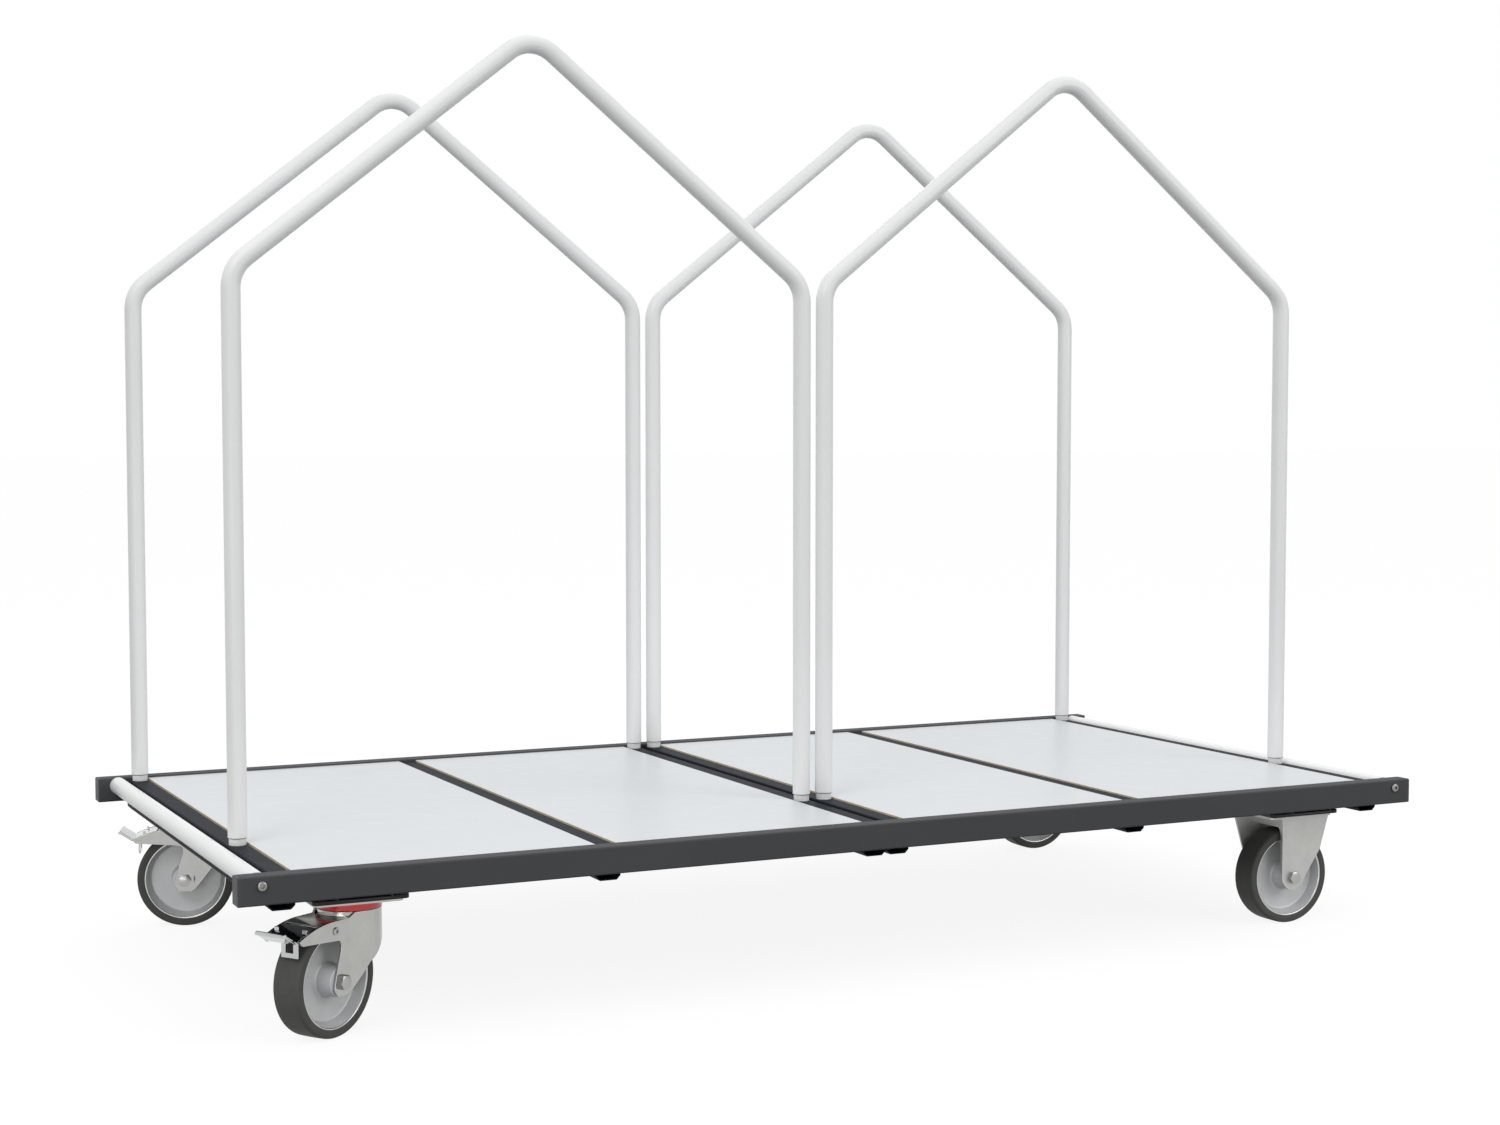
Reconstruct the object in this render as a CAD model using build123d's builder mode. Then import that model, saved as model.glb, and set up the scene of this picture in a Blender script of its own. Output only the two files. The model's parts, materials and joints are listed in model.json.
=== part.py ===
from build123d import *
import os
from math import acos, atan2, cos, hypot, radians, sin, sqrt

os.makedirs("parts", exist_ok=True)

# Platform
LENGTH = 2000.0
WIDTH = 1000.0
RAIL_HEIGHT = 40.0
RAIL_WIDTH = 30.0
RAIL_WALL = 2.0
RAIL_RADIUS = 2.5
CAP_FLANGE = 4.0
CAP_PLUG = 18.0
CAP_EDGE = 1.2
FIT = 0.05

# Cross bearers: a crown between the panels, shoulders under them, slanted lower corners
END_BEARER_INSET = 67.0
MID_BEARER_X = 457.0
PAIR_PITCH = 40.6
CROWN_WIDTH = 30.0
CROWN_DROP = 4.5
CROWN_RADIUS = 2.5
BEARER_WIDTH = 38.0
BEARER_HEIGHT = 50.0
BEARER_CHAMFER = 6.0
BEARER_WALL = 2.0

# Deck panels
PANEL_THICKNESS = 10.0
PANEL_DROP = 2.5
PANEL_GAP = 0.75

# Round end tubes and their screws
END_TUBE_INSET = 33.0
END_TUBE_DROP = 13.0
END_TUBE_DIAMETER = 28.0
END_TUBE_WALL = 2.0
END_PLUG = 25.0
SCREW_DIAMETER = 8.0
SCREW_REACH = 22.0
SCREW_HEAD_DIAMETER = 14.0
SCREW_HEAD_HEIGHT = 4.4
SCREW_HEAD_ROUND = 3.0
SCREW_SOCKET = 5.0
SCREW_SOCKET_DEPTH = 2.5
SCREW_CLEARANCE = 0.4

# Hoops: heights are above the rails
HOOP_NEAR_INSET = 272.5
HOOP_DIAMETER = 28.0
HOOP_WALL = 1.5
HOOP_BEND = 56.0
EAVES_RISE = 820.5
APEX_RISE = 1183.0
FOOT_STEP = 11.0
FOOT_INSERT = 40.0
PIN_DIAMETER = 18.0
PIN_LENGTH = 42.0
PIN_CHAMFER = 2.0
SOCKET_WALL = 3.0

# Wheels
WHEEL_DIAMETER = 160.0
TYRE_WIDTH = 46.0
TYRE_THICKNESS = 13.0
TYRE_SHOULDER = 6.0
RIM_WIDTH = 43.5
RIM_LIP = 4.0
RIM_DISH = 7.0
WEB_THICKNESS = 10.0
HUB_DIAMETER = 42.0
HUB_OVERHANG = 7.0
HUB_TAPER = 2.0
HUB_GAP = 0.5
AXLE_TUBE_DIAMETER = 20.0
AXLE_DIAMETER = 12.0
AXLE_HEAD_ACROSS = 19.0
AXLE_HEAD_HEIGHT = 7.5
AXLE_NUT_HEIGHT = 9.5
AXLE_TIP = 2.0

# Caster mounting
CASTER_INSET_X = 183.0
CASTER_INSET_Y = 110.5
CASTER_HEADROOM = 30.0
BEAM_WIDTH = 80.0
BEAM_HEIGHT = 38.0
BEAM_WALL = 3.0
MOUNT_THICKNESS = 6.0
MOUNT_BORDER_X = 5.0
MOUNT_BORDER_Y = 11.0
PLATE_THICKNESS = 5.0
PLATE_RADIUS = 8.0
BOLT_EDGE = 11.5
BOLT_BEAM_ROOM = 12.5
BOLT_CHEEK_ROOM = 1.5
BOLT_DIAMETER = 10.0
BOLT_CLEARANCE = 0.25
BOLT_HEAD_ACROSS = 16.0
BOLT_HEAD_HEIGHT = 6.4

# Swivel heads and forks
CHEEK_THICKNESS = 3.5
TRAIL = 53.0
NEAR_SPLAY = 33.0
FAR_SPLAY = -18.7
HEAD_RADIUS = 46.0
HEAD_THICKNESS = 10.0
HEAD_INSET = 1.0
NOSE_ROOM = 0.5
NOSE_DROP = 8.0
CREASE_LEAD = -38.0
SHOULDER_LEAD = 8.0
SHOULDER_DROP = 6.5
CORNER_RADIUS = 7.0
WEB_THICKNESS_TOP = 3.0
WEB_BACK = 43.0
SEAL_DIAMETER = 93.0
SEAL_BORE = 64.0
SEAL_HEIGHT = 11.2
RUN_GAP = 0.3
KING_DIAMETER = 16.0
KING_HEAD_DIAMETER = 28.0
KING_HEAD_HEIGHT = 6.0

# Fixed forks
FIXED_SHORT = 22.5
FIXED_LONG = 74.5
FIXED_KNEE_LEAD = 56.0
FIXED_KNEE_RISE = 44.0
FIXED_LEG_RADIUS = 21.5
FIXED_FOOT_DROP = 4.0
FIXED_LIP = 12.0
FIXED_WEB = 8.0
FIXED_SIDE_LIP = 9.0
FIXED_LIP_TAPER = 6.0
FIXED_LIP_NECK = 4.5
FIXED_LIP_FOOT = 2.7
FIXED_FOLD_RADIUS = 3.0

# Brake pedal
PEDAL_PLATE = 3.0
PEDAL_DROP = 0.5
PEDAL_ROOM = 1.5
TOE_STEP = 3.0
TOE_THICKNESS = 4.0
TOE_ROLL = 6.0
EAR_THICKNESS = 3.5
EAR_RADIUS = 8.0
PEDAL_PIN_DIAMETER = 8.0
PEDAL_PIN_HEAD = 11.0
PEDAL_PIN_HEAD_HEIGHT = 2.0
PEDAL_PIN_SOCKET = 5.0
PEDAL_BACK = 46.0
PEDAL_FRONT = 86.0
TAB_LEAD = 66.0
TAB_WIDTH = 8.0
TAB_HEIGHT = 6.0
LOOP_WIDTH = 29.0
LOOP_LOW = 35.0
LOOP_ROOM = 7.4
LOOP_OFFSET = 6.0
LOOP_HOLE_WIDTH = 14.0
LOOP_HOLE_HEIGHT = 13.0
LOOP_HOLE_RISE = 7.0

# Sizes that follow from the ones above
CASTER_X = LENGTH / 2 - CASTER_INSET_X
CASTER_Y = WIDTH / 2 - CASTER_INSET_Y
CASTER_HEIGHT = WHEEL_DIAMETER + CASTER_HEADROOM
PLATE_LOW = CASTER_HEIGHT - PLATE_THICKNESS
HEAD_TOP = PLATE_LOW - SEAL_HEIGHT - RUN_GAP
HEAD_LOW = HEAD_TOP - HEAD_THICKNESS
MOUNT_TOP = CASTER_HEIGHT + MOUNT_THICKNESS
SHOULDER_Z = MOUNT_TOP + BEAM_HEIGHT
RAIL_TOP = SHOULDER_Z + PANEL_THICKNESS + PANEL_DROP
RAIL_Y = (WIDTH - RAIL_WIDTH) / 2
RAIL_Z = RAIL_TOP - RAIL_HEIGHT / 2
RAIL_LENGTH = LENGTH - 2 * CAP_FLANGE
INNER_Y = WIDTH / 2 - RAIL_WIDTH
BEARER_TOP = RAIL_TOP - CROWN_DROP
BEARER_FLOOR = BEARER_TOP - BEARER_HEIGHT
END_BEARER_X = LENGTH / 2 - END_BEARER_INSET
END_TUBE_X = LENGTH / 2 - END_TUBE_INSET
END_TUBE_Z = RAIL_TOP - END_TUBE_DROP
EAVES_Z = RAIL_TOP + EAVES_RISE
APEX_Z = RAIL_TOP + APEX_RISE
HOOP_BORE = HOOP_DIAMETER - 2 * HOOP_WALL
HOOP_NEAR_Y = HOOP_NEAR_INSET - WIDTH / 2
HOOP_FAR_Y = INNER_Y - HOOP_DIAMETER / 2
FOOT_TOP = BEARER_TOP + FOOT_STEP
WHEEL_RADIUS = WHEEL_DIAMETER / 2
RIM_RADIUS = WHEEL_RADIUS - TYRE_THICKNESS
HUB_LENGTH = TYRE_WIDTH + 2 * HUB_OVERHANG
CHEEK_IN = HUB_LENGTH / 2 + HUB_GAP
CHEEK_OUT = CHEEK_IN + CHEEK_THICKNESS
BOLT_PITCH_X = BEAM_WIDTH + 2 * BOLT_BEAM_ROOM
BOLT_PITCH_Y = 2 * (CHEEK_OUT + BOLT_CHEEK_ROOM) + BOLT_HEAD_ACROSS
PLATE_LENGTH = BOLT_PITCH_X + 2 * BOLT_EDGE
PLATE_WIDTH = BOLT_PITCH_Y + 2 * BOLT_EDGE
MOUNT_LENGTH = PLATE_LENGTH + 2 * MOUNT_BORDER_X
MOUNT_WIDTH = PLATE_WIDTH + 2 * MOUNT_BORDER_Y
PEDAL_WIDTH = 2 * (CHEEK_IN - PEDAL_ROOM)
TOE_WIDTH = PEDAL_WIDTH - 2 * TOE_STEP
PEDAL_PIVOT = (-TRAIL - 13.3, WHEEL_DIAMETER - 7.1)
BEARERS = {
    "left_end_bearer": -END_BEARER_X,
    "left_mid_bearer": -MID_BEARER_X,
    "left_centre_bearer": -PAIR_PITCH / 2,
    "right_centre_bearer": PAIR_PITCH / 2,
    "right_mid_bearer": MID_BEARER_X,
    "right_end_bearer": END_BEARER_X,
}
HOOP_BEARERS = ("left_end_bearer", "left_centre_bearer", "right_centre_bearer", "right_end_bearer")
HOOP_SPANS = {
    "left": (-END_BEARER_X, -PAIR_PITCH / 2),
    "right": (PAIR_PITCH / 2, END_BEARER_X),
}
HOOP_ROWS = {"near": HOOP_NEAR_Y, "far": HOOP_FAR_Y}
CASTER_SPOTS = [(end * CASTER_X, side * CASTER_Y) for end in (-1, 1) for side in (-1, 1)]


def save(piece, name):
    piece.part.label = name
    export_step(piece.part, f"parts/{name}.step")


def upright_plane(y):
    """The plane of constant y, drawn in x and z."""
    return Plane(origin=(0, y, 0), x_dir=(1, 0, 0), z_dir=(0, -1, 0))


def ground_plane(x, y, turn):
    """The floor under a caster, its x axis along the caster's leading direction."""
    lead = (cos(radians(turn)), sin(radians(turn)), 0)
    return Plane(origin=(x, y, 0), x_dir=lead, z_dir=(0, 0, 1))


def side_plane(ground):
    """The caster's middle plane, drawn in its leading direction and z."""
    return Plane(origin=ground.origin, x_dir=ground.x_dir, z_dir=-ground.y_dir)


def by_axle(lead, rise):
    """A point of the swivel caster's side view, given from its axle."""
    return (-TRAIL + lead, WHEEL_RADIUS + rise)


def by_tyre_top(lead, rise):
    """A point of the swivel caster's side view, given from the top of its tyre."""
    return (-TRAIL + lead, WHEEL_DIAMETER + rise)


# Three points of the fork arms' upper edge
ARM_ROOT = by_tyre_top(-9, 7)
ARM_MIDDLE = by_tyre_top(-49, 3.7)
ARM_TIP = by_tyre_top(-86.5, -9)


def arm_edge(back, drop):
    """The point this far behind the axle and this far below the arc of the arms' upper edge."""
    (ax, az), (bx, bz), (cx, cz) = ARM_ROOT, ARM_MIDDLE, ARM_TIP
    a2, b2, c2 = ax**2 + az**2, bx**2 + bz**2, cx**2 + cz**2
    twice = 2 * (ax * (bz - cz) + bx * (cz - az) + cx * (az - bz))
    centre_x = (a2 * (bz - cz) + b2 * (cz - az) + c2 * (az - bz)) / twice
    centre_z = (a2 * (cx - bx) + b2 * (ax - cx) + c2 * (bx - ax)) / twice
    radius = hypot(ax - centre_x, az - centre_z) - drop
    lead = -TRAIL - back
    return (lead, centre_z + sqrt(radius**2 - (lead - centre_x) ** 2))


def hexagon(across):
    return RegularPolygon(across / 2, 6, major_radius=False)


# Side rails with a hole at each end for the end tube screws
def side_rail(name, side):
    with BuildPart() as rail:
        with BuildSketch(Plane.YZ.offset(-RAIL_LENGTH / 2)):
            with Locations((side * RAIL_Y, RAIL_Z)):
                RectangleRounded(RAIL_WIDTH, RAIL_HEIGHT, RAIL_RADIUS)
                Rectangle(RAIL_WIDTH - 2 * RAIL_WALL, RAIL_HEIGHT - 2 * RAIL_WALL, mode=Mode.SUBTRACT)
        extrude(amount=RAIL_LENGTH)
        with BuildSketch(upright_plane(side * RAIL_Y)):
            with Locations((-END_TUBE_X, END_TUBE_Z), (END_TUBE_X, END_TUBE_Z)):
                Circle((SCREW_DIAMETER + SCREW_CLEARANCE) / 2)
        extrude(amount=RAIL_WIDTH, both=True, mode=Mode.SUBTRACT)
    save(rail, name)


side_rail("near_side_rail", -1)
side_rail("far_side_rail", 1)

# End caps pushed into the four rail ends
with BuildPart() as rail_end_caps:
    for end in (-1, 1):
        face = Plane(origin=(end * RAIL_LENGTH / 2, 0, RAIL_Z), x_dir=(0, end, 0), z_dir=(end, 0, 0))
        with BuildSketch(face):
            with Locations((-RAIL_Y, 0), (RAIL_Y, 0)):
                RectangleRounded(RAIL_WIDTH, RAIL_HEIGHT, RAIL_RADIUS)
        extrude(amount=CAP_FLANGE)
        chamfer(faces().group_by(Axis.X)[-1 if end > 0 else 0].edges(), CAP_EDGE)
        with BuildSketch(face):
            with Locations((-RAIL_Y, 0), (RAIL_Y, 0)):
                Rectangle(RAIL_WIDTH - 2 * (RAIL_WALL + FIT), RAIL_HEIGHT - 2 * (RAIL_WALL + FIT))
        extrude(amount=-CAP_PLUG)
save(rail_end_caps, "rail_end_caps")


# Cross bearers between the rails, with sockets where a hoop stands
def cross_bearer(name, x):
    half_crown = CROWN_WIDTH / 2
    half = BEARER_WIDTH / 2
    right_side = [
        (half_crown, BEARER_TOP),
        (half_crown, SHOULDER_Z),
        (half, SHOULDER_Z),
        (half, BEARER_FLOOR + BEARER_CHAMFER),
        (half - BEARER_CHAMFER, BEARER_FLOOR),
    ]
    outline = right_side + [(-across, z) for across, z in reversed(right_side)]
    with BuildPart() as bearer:
        with BuildSketch(upright_plane(INNER_Y)) as section:
            with BuildLine():
                Polyline(*[(x + across, z) for across, z in outline], close=True)
            make_face()
            fillet(section.vertices().group_by(Axis.Y)[-1], CROWN_RADIUS)
            offset(amount=-BEARER_WALL, mode=Mode.SUBTRACT)
        extrude(amount=2 * INNER_Y)
        if name in HOOP_BEARERS:
            seats = [(x, y) for y in HOOP_ROWS.values()]
            with BuildSketch(Plane.XY.offset(BEARER_FLOOR + BEARER_WALL)):
                with Locations(*seats):
                    Circle(PIN_DIAMETER / 2 + FIT + SOCKET_WALL)
            extrude(amount=BEARER_HEIGHT - 2 * BEARER_WALL)
            with BuildSketch(Plane.XY.offset(BEARER_FLOOR + BEARER_WALL)):
                with Locations(*seats):
                    Circle(PIN_DIAMETER / 2 + FIT)
            extrude(amount=BEARER_HEIGHT, mode=Mode.SUBTRACT)
    save(bearer, name)


for bearer_name, bearer_x in BEARERS.items():
    cross_bearer(bearer_name, bearer_x)


# Round tubes across both ends, closed by plugs that take the screws
def end_tube(name, end):
    with BuildPart() as tube:
        with BuildSketch(upright_plane(INNER_Y)):
            with Locations((end * END_TUBE_X, END_TUBE_Z)):
                Circle(END_TUBE_DIAMETER / 2)
                Circle(SCREW_DIAMETER / 2 + FIT, mode=Mode.SUBTRACT)
        extrude(amount=2 * INNER_Y)
        with BuildSketch(upright_plane(INNER_Y - END_PLUG)):
            with Locations((end * END_TUBE_X, END_TUBE_Z)):
                Circle(END_TUBE_DIAMETER / 2 - END_TUBE_WALL)
        extrude(amount=2 * (INNER_Y - END_PLUG), mode=Mode.SUBTRACT)
    save(tube, name)


end_tube("left_end_tube", -1)
end_tube("right_end_tube", 1)

# Button-head screws through the rails into the end tubes
with BuildPart() as end_tube_screws:
    for side in (-1, 1):
        outside = Plane(origin=(0, side * WIDTH / 2, END_TUBE_Z), x_dir=(-side, 0, 0), z_dir=(0, side, 0))
        spots = [(-END_TUBE_X, 0), (END_TUBE_X, 0)]
        with BuildSketch(outside):
            with Locations(*spots):
                Circle(SCREW_HEAD_DIAMETER / 2)
        extrude(amount=SCREW_HEAD_HEIGHT)
        fillet(faces().group_by(Axis.Y)[-1 if side > 0 else 0].edges(), SCREW_HEAD_ROUND)
        with BuildSketch(outside.offset(SCREW_HEAD_HEIGHT)):
            with Locations(*spots):
                hexagon(SCREW_SOCKET)
        extrude(amount=-SCREW_SOCKET_DEPTH, mode=Mode.SUBTRACT)
        with BuildSketch(outside):
            with Locations(*spots):
                Circle(SCREW_DIAMETER / 2)
        extrude(amount=-(RAIL_WIDTH + SCREW_REACH))
save(end_tube_screws, "end_tube_screws")


# Deck panels, resting on the shoulders of two bearers
def deck_panel(name, left_bearer, right_bearer):
    low_x = BEARERS[left_bearer] + CROWN_WIDTH / 2 + PANEL_GAP
    high_x = BEARERS[right_bearer] - CROWN_WIDTH / 2 - PANEL_GAP
    with BuildPart() as panel:
        with BuildSketch(Plane.XY.offset(SHOULDER_Z)):
            with Locations(((low_x + high_x) / 2, 0)):
                Rectangle(high_x - low_x, 2 * (INNER_Y - PANEL_GAP))
        extrude(amount=PANEL_THICKNESS)
    save(panel, name)


deck_panel("left_outer_panel", "left_end_bearer", "left_mid_bearer")
deck_panel("left_inner_panel", "left_mid_bearer", "left_centre_bearer")
deck_panel("right_inner_panel", "right_centre_bearer", "right_mid_bearer")
deck_panel("right_outer_panel", "right_mid_bearer", "right_end_bearer")


# Box beams under the outer panels that carry the casters
def caster_beam(name, end):
    with BuildPart() as beam:
        with BuildSketch(upright_plane(INNER_Y)):
            with Locations((end * CASTER_X, MOUNT_TOP + BEAM_HEIGHT / 2)):
                Rectangle(BEAM_WIDTH, BEAM_HEIGHT)
                Rectangle(BEAM_WIDTH - 2 * BEAM_WALL, BEAM_HEIGHT - 2 * BEAM_WALL, mode=Mode.SUBTRACT)
        extrude(amount=2 * INNER_Y)
    save(beam, name)


caster_beam("left_caster_beam", -1)
caster_beam("right_caster_beam", 1)


def bolted_plate(length, width, clearance):
    """A rounded plate with the casters' four bolt holes, drawn on the current plane."""
    RectangleRounded(length, width, PLATE_RADIUS)
    with GridLocations(BOLT_PITCH_X, BOLT_PITCH_Y, 2, 2):
        Circle(BOLT_DIAMETER / 2 + clearance, mode=Mode.SUBTRACT)


# Mounting plates under the beams, one above each caster
def mount_plates(name, end):
    with BuildPart() as plates:
        with BuildSketch(Plane.XY.offset(CASTER_HEIGHT)):
            with Locations((end * CASTER_X, -CASTER_Y), (end * CASTER_X, CASTER_Y)):
                bolted_plate(MOUNT_LENGTH, MOUNT_WIDTH, BOLT_CLEARANCE)
        extrude(amount=MOUNT_THICKNESS)
    save(plates, name)


mount_plates("left_mount_plates", -1)
mount_plates("right_mount_plates", 1)

# Bolts down through the mounting plates into the caster plates
with BuildPart() as caster_bolts:
    with BuildSketch(Plane.XY.offset(MOUNT_TOP)):
        with Locations(*CASTER_SPOTS):
            with GridLocations(BOLT_PITCH_X, BOLT_PITCH_Y, 2, 2):
                hexagon(BOLT_HEAD_ACROSS)
    extrude(amount=BOLT_HEAD_HEIGHT)
    with BuildSketch(Plane.XY.offset(MOUNT_TOP)):
        with Locations(*CASTER_SPOTS):
            with GridLocations(BOLT_PITCH_X, BOLT_PITCH_Y, 2, 2):
                Circle(BOLT_DIAMETER / 2)
    extrude(amount=-(MOUNT_THICKNESS + PLATE_THICKNESS))
save(caster_bolts, "caster_bolts")


# House-shaped hoops, bent from one tube
def hoop(name, span, y):
    left_x, right_x = span
    with BuildPart() as tube:
        with BuildLine(upright_plane(y)) as route:
            FilletPolyline(
                (left_x, FOOT_TOP),
                (left_x, EAVES_Z),
                ((left_x + right_x) / 2, APEX_Z),
                (right_x, EAVES_Z),
                (right_x, FOOT_TOP),
                radius=HOOP_BEND,
            )
        with BuildSketch(Plane.XY.offset(FOOT_TOP)):
            with Locations((left_x, y)):
                Circle(HOOP_DIAMETER / 2)
                Circle(HOOP_BORE / 2, mode=Mode.SUBTRACT)
        sweep(path=route.wires()[0])
    save(tube, name)


# Feet of a hoop: an insert in the tube, a step on the bearer and a pin in its socket
def hoop_feet(name, span, y):
    spots = [(x, y) for x in span]
    with BuildPart() as feet:
        with BuildSketch(Plane.XY.offset(BEARER_TOP)):
            with Locations(*spots):
                Circle(HOOP_BORE / 2 - FIT)
        extrude(amount=FOOT_STEP + FOOT_INSERT)
        with BuildSketch(Plane.XY.offset(BEARER_TOP)):
            with Locations(*spots):
                Circle(PIN_DIAMETER / 2)
        extrude(amount=-PIN_LENGTH)
        chamfer(faces().group_by(Axis.Z)[0].edges(), PIN_CHAMFER)
    save(feet, name)


for row_name, row_y in HOOP_ROWS.items():
    for half_name, hoop_span in HOOP_SPANS.items():
        hoop(f"{row_name}_{half_name}_hoop", hoop_span, row_y)
        hoop_feet(f"{row_name}_{half_name}_hoop_feet", hoop_span, row_y)


# A wheel: dished rim with hub, and a solid tyre, turning on a tube clamped between the cheeks
def wheel(prefix, ground, axle_lead):
    side = side_plane(ground)
    axle = Plane(
        origin=side.from_local_coords((axle_lead, WHEEL_RADIUS, 0)),
        x_dir=(0, 0, 1),
        z_dir=side.z_dir,
    )
    section = Plane(origin=axle.origin, x_dir=ground.y_dir, z_dir=ground.x_dir)
    spin = Axis(axle.origin, axle.z_dir)
    lip_radius = RIM_RADIUS - RIM_LIP
    half_rim = [
        (HUB_LENGTH / 2, AXLE_TUBE_DIAMETER / 2 + FIT),
        (HUB_LENGTH / 2, HUB_DIAMETER / 2),
        (WEB_THICKNESS / 2, HUB_DIAMETER / 2 + HUB_TAPER),
        (WEB_THICKNESS / 2, lip_radius - RIM_DISH),
        (RIM_WIDTH / 2, lip_radius),
        (RIM_WIDTH / 2, RIM_RADIUS),
    ]
    with BuildPart() as rim:
        with BuildSketch(section):
            with BuildLine():
                Polyline(*half_rim, *[(-a, r) for a, r in reversed(half_rim)], close=True)
            make_face()
        revolve(axis=spin)
    save(rim, f"{prefix}_wheel_rim")
    with BuildPart() as tyre:
        with BuildSketch(section) as ring:
            with Locations((0, RIM_RADIUS + TYRE_THICKNESS / 2)):
                Rectangle(TYRE_WIDTH, TYRE_THICKNESS)
            fillet(ring.vertices().group_by(Axis.Y)[-1], TYRE_SHOULDER)
        revolve(axis=spin)
    save(tyre, f"{prefix}_tyre")
    with BuildPart() as axle_tube:
        with BuildSketch(axle.offset(-CHEEK_IN)):
            Circle(AXLE_TUBE_DIAMETER / 2)
            Circle(AXLE_DIAMETER / 2 + FIT, mode=Mode.SUBTRACT)
        extrude(amount=2 * CHEEK_IN)
    save(axle_tube, f"{prefix}_axle_tube")


# Bolts of a fork: the axle bolt with its nut, and the pedal's two socket pins where it has them
def fork_bolts(prefix, ground, axle_lead, has_pedal):
    side = side_plane(ground)
    axle = Plane(
        origin=side.from_local_coords((axle_lead, WHEEL_RADIUS, 0)),
        x_dir=(0, 0, 1),
        z_dir=side.z_dir,
    )
    with BuildPart() as bolts:
        with BuildSketch(axle.offset(CHEEK_OUT)):
            hexagon(AXLE_HEAD_ACROSS)
        extrude(amount=AXLE_HEAD_HEIGHT)
        with BuildSketch(axle.offset(CHEEK_OUT)):
            Circle(AXLE_DIAMETER / 2)
        extrude(amount=-(2 * CHEEK_OUT + AXLE_NUT_HEIGHT + AXLE_TIP))
        with BuildSketch(axle.offset(-CHEEK_OUT)):
            hexagon(AXLE_HEAD_ACROSS)
            Circle(AXLE_DIAMETER / 2 + FIT, mode=Mode.SUBTRACT)
        extrude(amount=-AXLE_NUT_HEIGHT)
        for hand in (1, -1) if has_pedal else ():
            pivot = Plane(
                origin=side.from_local_coords((*PEDAL_PIVOT, hand * CHEEK_OUT)),
                x_dir=ground.x_dir,
                z_dir=side.z_dir * hand,
            )
            with BuildSketch(pivot):
                Circle(PEDAL_PIN_HEAD / 2)
            extrude(amount=PEDAL_PIN_HEAD_HEIGHT)
            with BuildSketch(pivot.offset(PEDAL_PIN_HEAD_HEIGHT)):
                hexagon(PEDAL_PIN_SOCKET)
            extrude(amount=-PEDAL_PIN_HEAD_HEIGHT, mode=Mode.SUBTRACT)
            with BuildSketch(pivot):
                Circle(PEDAL_PIN_DIAMETER / 2)
            extrude(amount=-(CHEEK_OUT - PEDAL_WIDTH / 2 + EAR_THICKNESS))
    save(bolts, f"{prefix}_fork_bolts")


# Fixed fork: a plate and two legs that widen upwards to opposite sides, lipped along their upright edges
def fixed_fork(prefix, ground):
    side = side_plane(ground)
    lip_low = PLATE_LOW - FIXED_WEB - FIXED_LIP
    with BuildPart() as fork:
        with BuildSketch(ground.offset(PLATE_LOW)):
            bolted_plate(PLATE_LENGTH, PLATE_WIDTH, FIT)
        extrude(amount=PLATE_THICKNESS)
        with BuildSketch(ground.offset(PLATE_LOW)):
            Rectangle(2 * FIXED_SHORT, 2 * CHEEK_OUT)
        extrude(amount=-FIXED_WEB)
        for hand in (1, -1):
            short_x = -hand * FIXED_SHORT
            foot_short = (short_x, WHEEL_RADIUS - FIXED_FOOT_DROP)
            foot_low = (0, WHEEL_RADIUS - FIXED_LEG_RADIUS)
            foot_long = (hand * FIXED_SHORT, WHEEL_RADIUS - FIXED_FOOT_DROP)
            with BuildSketch(side.offset(hand * CHEEK_IN)):
                with BuildLine():
                    ThreePointArc(foot_short, foot_low, foot_long)
                    Polyline(
                        foot_long,
                        (hand * FIXED_KNEE_LEAD, WHEEL_RADIUS + FIXED_KNEE_RISE),
                        (hand * FIXED_LONG, PLATE_LOW),
                        (short_x, PLATE_LOW),
                        foot_short,
                    )
                make_face()
                with Locations((0, WHEEL_RADIUS)):
                    Circle(AXLE_DIAMETER / 2 + FIT, mode=Mode.SUBTRACT)
            extrude(amount=hand * CHEEK_THICKNESS)
            lip_plane = Plane(
                origin=side.from_local_coords((short_x, 0, 0)),
                x_dir=ground.y_dir,
                z_dir=ground.x_dir,
            )
            edge = -hand * CHEEK_IN
            with BuildSketch(lip_plane):
                with BuildLine():
                    Polyline(
                        (-CHEEK_IN, PLATE_LOW),
                        (-CHEEK_IN, lip_low),
                        (CHEEK_IN, lip_low),
                        (CHEEK_IN, PLATE_LOW),
                        close=True,
                    )
                make_face()
                with BuildLine():
                    Polyline(
                        (edge, lip_low),
                        (edge + hand * FIXED_SIDE_LIP, lip_low),
                        (edge + hand * FIXED_LIP_NECK, lip_low - FIXED_LIP_TAPER),
                        (edge + hand * FIXED_LIP_FOOT, WHEEL_RADIUS + FIXED_LIP),
                        (edge, WHEEL_RADIUS + FIXED_LIP),
                        close=True,
                    )
                make_face()
            extrude(amount=hand * CHEEK_THICKNESS)
            fold = ground.from_local_coords((short_x, -hand * CHEEK_OUT, 0))
            uprights = fork.edges().filter_by(Axis.Z)
            fillet(
                [edge for edge in uprights if hypot(edge.center().X - fold.X, edge.center().Y - fold.Y) < FIT],
                FIXED_FOLD_RADIUS,
            )
    save(fork, f"{prefix}_fixed_fork")


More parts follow.
